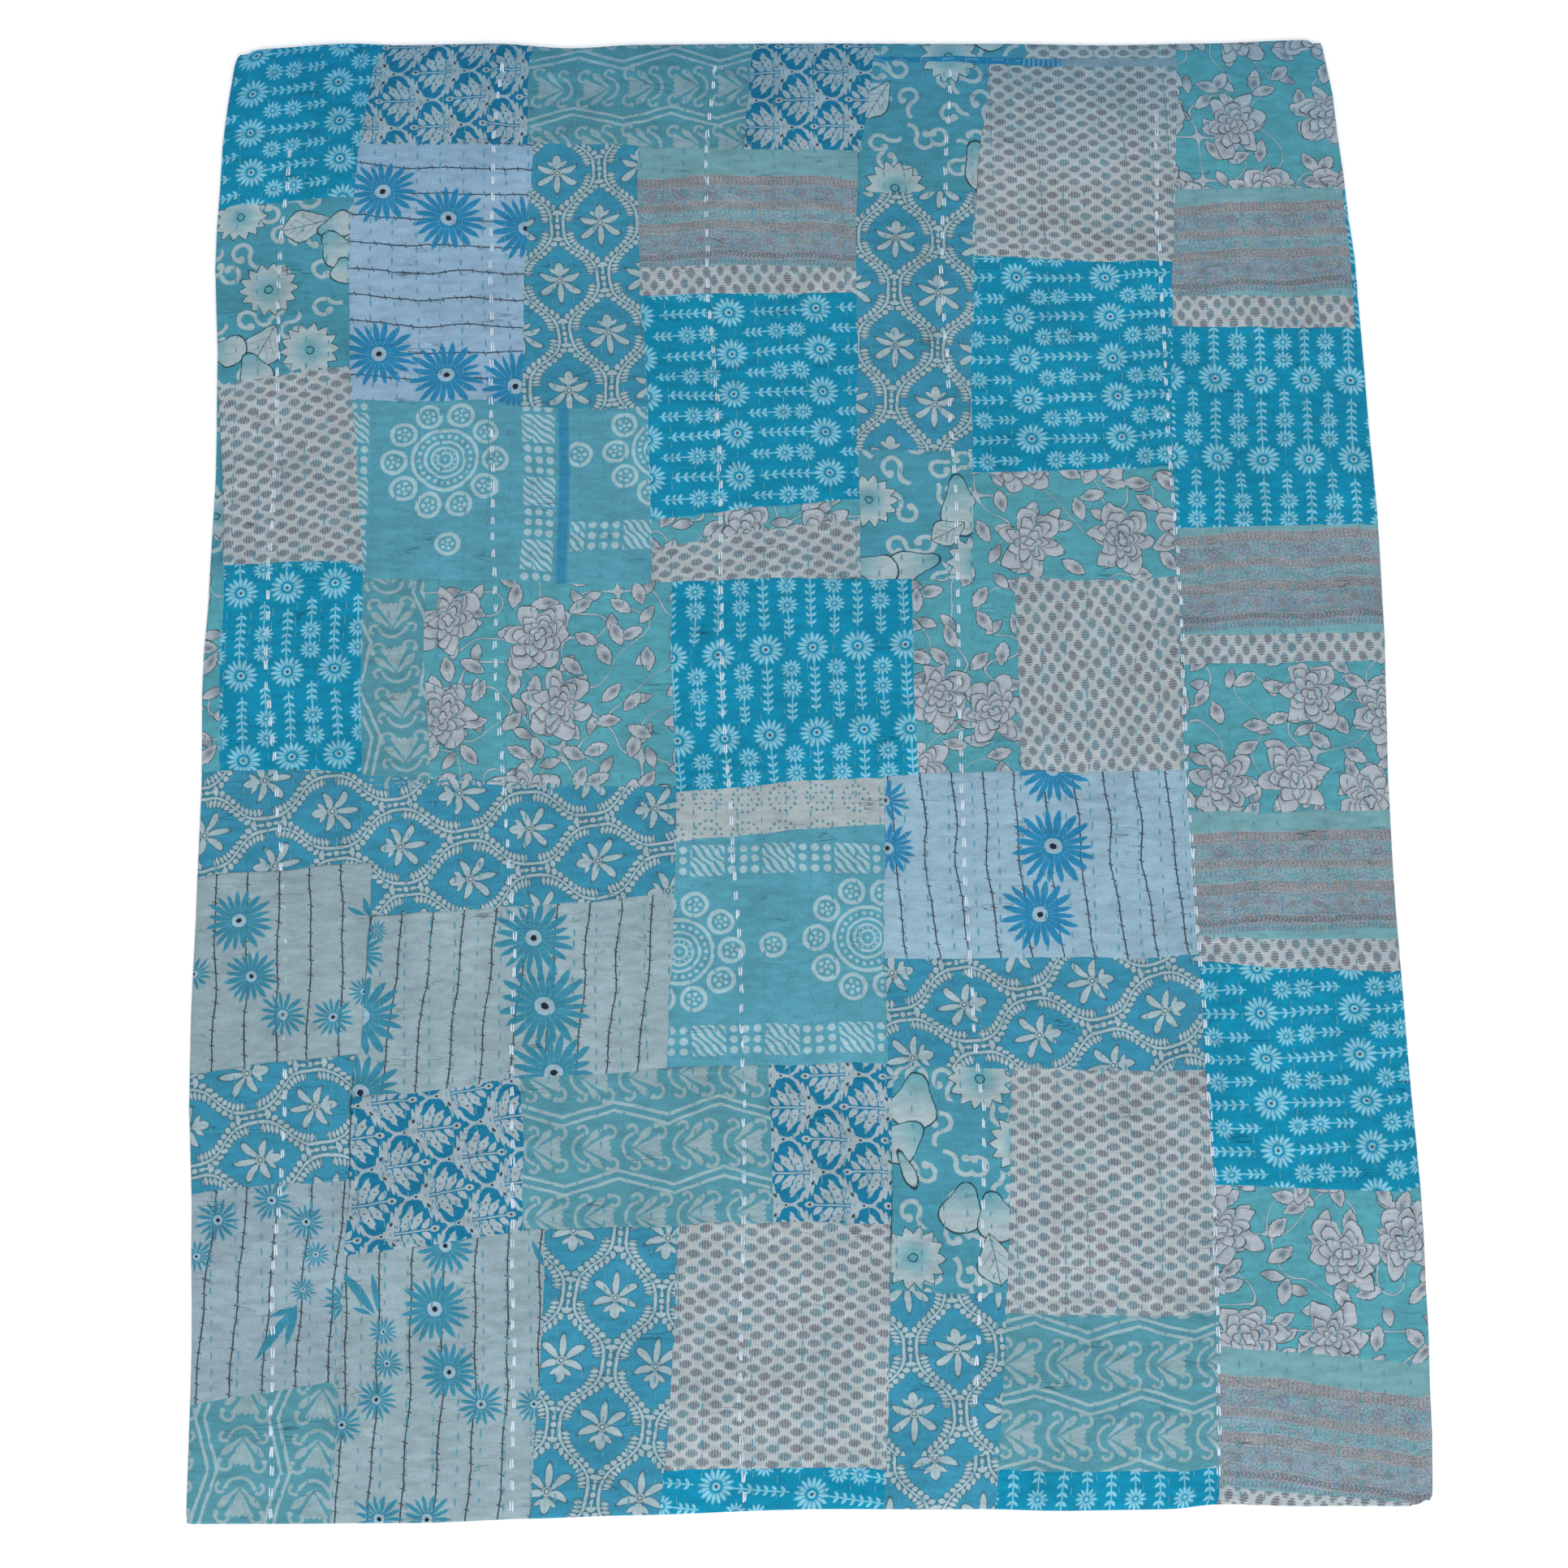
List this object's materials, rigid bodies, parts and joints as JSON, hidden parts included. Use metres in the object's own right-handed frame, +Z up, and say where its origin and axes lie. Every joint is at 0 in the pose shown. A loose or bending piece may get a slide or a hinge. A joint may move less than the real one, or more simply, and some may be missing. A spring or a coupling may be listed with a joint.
{
  "type": "patchwork quilt",
  "caption": "Flat rectangular hand-stitched patchwork quilt with a thin filling, lengthwise rows of running stitch and gently wandering sides.",
  "frame": {"origin": "under the middle of the quilt's bounding box, on the surface that the quilt lies on", "axes": "+Y along the length, towards the top edge; +X across the width, to the right seen from above; +Z up, out of the patchwork front"},
  "size_m": [1.5578, 2.036, 0.0083],
  "materials": {
    "printed_cotton": "matt"
  },
  "bodies": {
    "root": {"quilt": "printed_cotton"}
  },
  "joints": []
}
